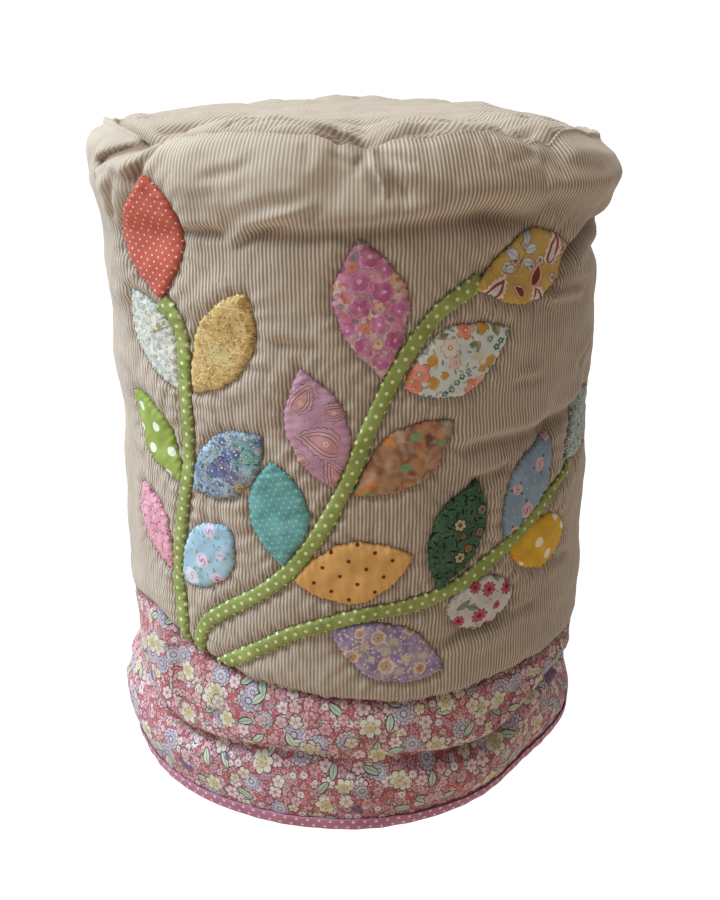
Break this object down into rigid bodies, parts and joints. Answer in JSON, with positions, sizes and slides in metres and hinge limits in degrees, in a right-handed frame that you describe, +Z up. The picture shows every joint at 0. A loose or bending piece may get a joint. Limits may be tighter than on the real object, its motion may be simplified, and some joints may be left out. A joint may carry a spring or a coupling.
{
  "type": "quilted water jug cover",
  "caption": "Padded, quilted cloth cover with an applique leafy branch, dropped over an upturned round water bottle; closed at the top and open at the foot.",
  "frame": {"origin": "on the axis of the bottle, at the level of the bound hem, which stands on z = 0", "axes": "+Z up along the bottle, -Y towards the decorated side, +X to the right seen from that side"},
  "size_m": [0.308, 0.2995, 0.3993],
  "materials": {
    "striped_cotton": "matte quilted cotton, fine cream and taupe stripes",
    "top_cotton": "matte quilted cotton, fine cream and taupe stripes",
    "band_print": "matte cotton, small rose floral print",
    "binding_tape": "matte cotton, mauve with small white dots",
    "stem_tape": "matte cotton bias tape, moss green with cream dots",
    "print_coral": "cotton, coral with cream pin dots",
    "print_pale_blue": "cotton, white and grey-blue floral",
    "print_gold": "cotton, mottled ochre with tiny sprigs",
    "print_green_dot": "cotton, lime green with white dots",
    "print_blue_purple": "cotton, dense blue and violet floral",
    "print_pink_line": "cotton, pink with dark line flowers",
    "print_sky_rose": "cotton, sky blue with pink roses",
    "print_teal_dot": "cotton, teal with pale pin dots",
    "print_paisley": "cotton, lilac-pink with line paisleys",
    "print_magenta": "cotton, magenta floral",
    "print_mustard": "cotton, mustard with grey-white leaves",
    "print_white_floral": "cotton, white with mixed flowers",
    "print_amber": "cotton, amber with brown and orange blotches",
    "print_orange_dot": "cotton, orange-tan with brown dots",
    "print_purple": "cotton, lavender with gold-edged flowers, slight sheen",
    "print_dark_green": "cotton, dark green with black sprigs",
    "print_pink_white": "cotton, white with rose daisies",
    "print_blue_rose": "cotton, dusty blue with pink roses",
    "print_yellow_dot": "cotton, mustard yellow with large white dots",
    "print_teal_speckle": "cotton, teal and white speckled floral"
  },
  "bodies": {
    "root": {"body_panel": "striped_cotton", "top_panel": "top_cotton", "skirt_band": "band_print", "hem_binding": "binding_tape", "stem_left": "stem_tape", "stem_middle": "stem_tape", "stem_right": "stem_tape", "leaf_coral": "print_coral", "leaf_pale_blue": "print_pale_blue", "leaf_gold": "print_gold", "leaf_green_dot": "print_green_dot", "leaf_blue_purple": "print_blue_purple", "leaf_pink_line": "print_pink_line", "leaf_sky_rose": "print_sky_rose", "leaf_teal_dot": "print_teal_dot", "leaf_paisley": "print_paisley", "leaf_magenta": "print_magenta", "leaf_mustard": "print_mustard", "leaf_white_floral": "print_white_floral", "leaf_amber": "print_amber", "leaf_orange_dot": "print_orange_dot", "leaf_purple": "print_purple", "leaf_dark_green": "print_dark_green", "leaf_pink_white": "print_pink_white", "leaf_blue_rose": "print_blue_rose", "leaf_yellow_dot": "print_yellow_dot", "leaf_teal_speckle": "print_teal_speckle"}
  },
  "joints": []
}
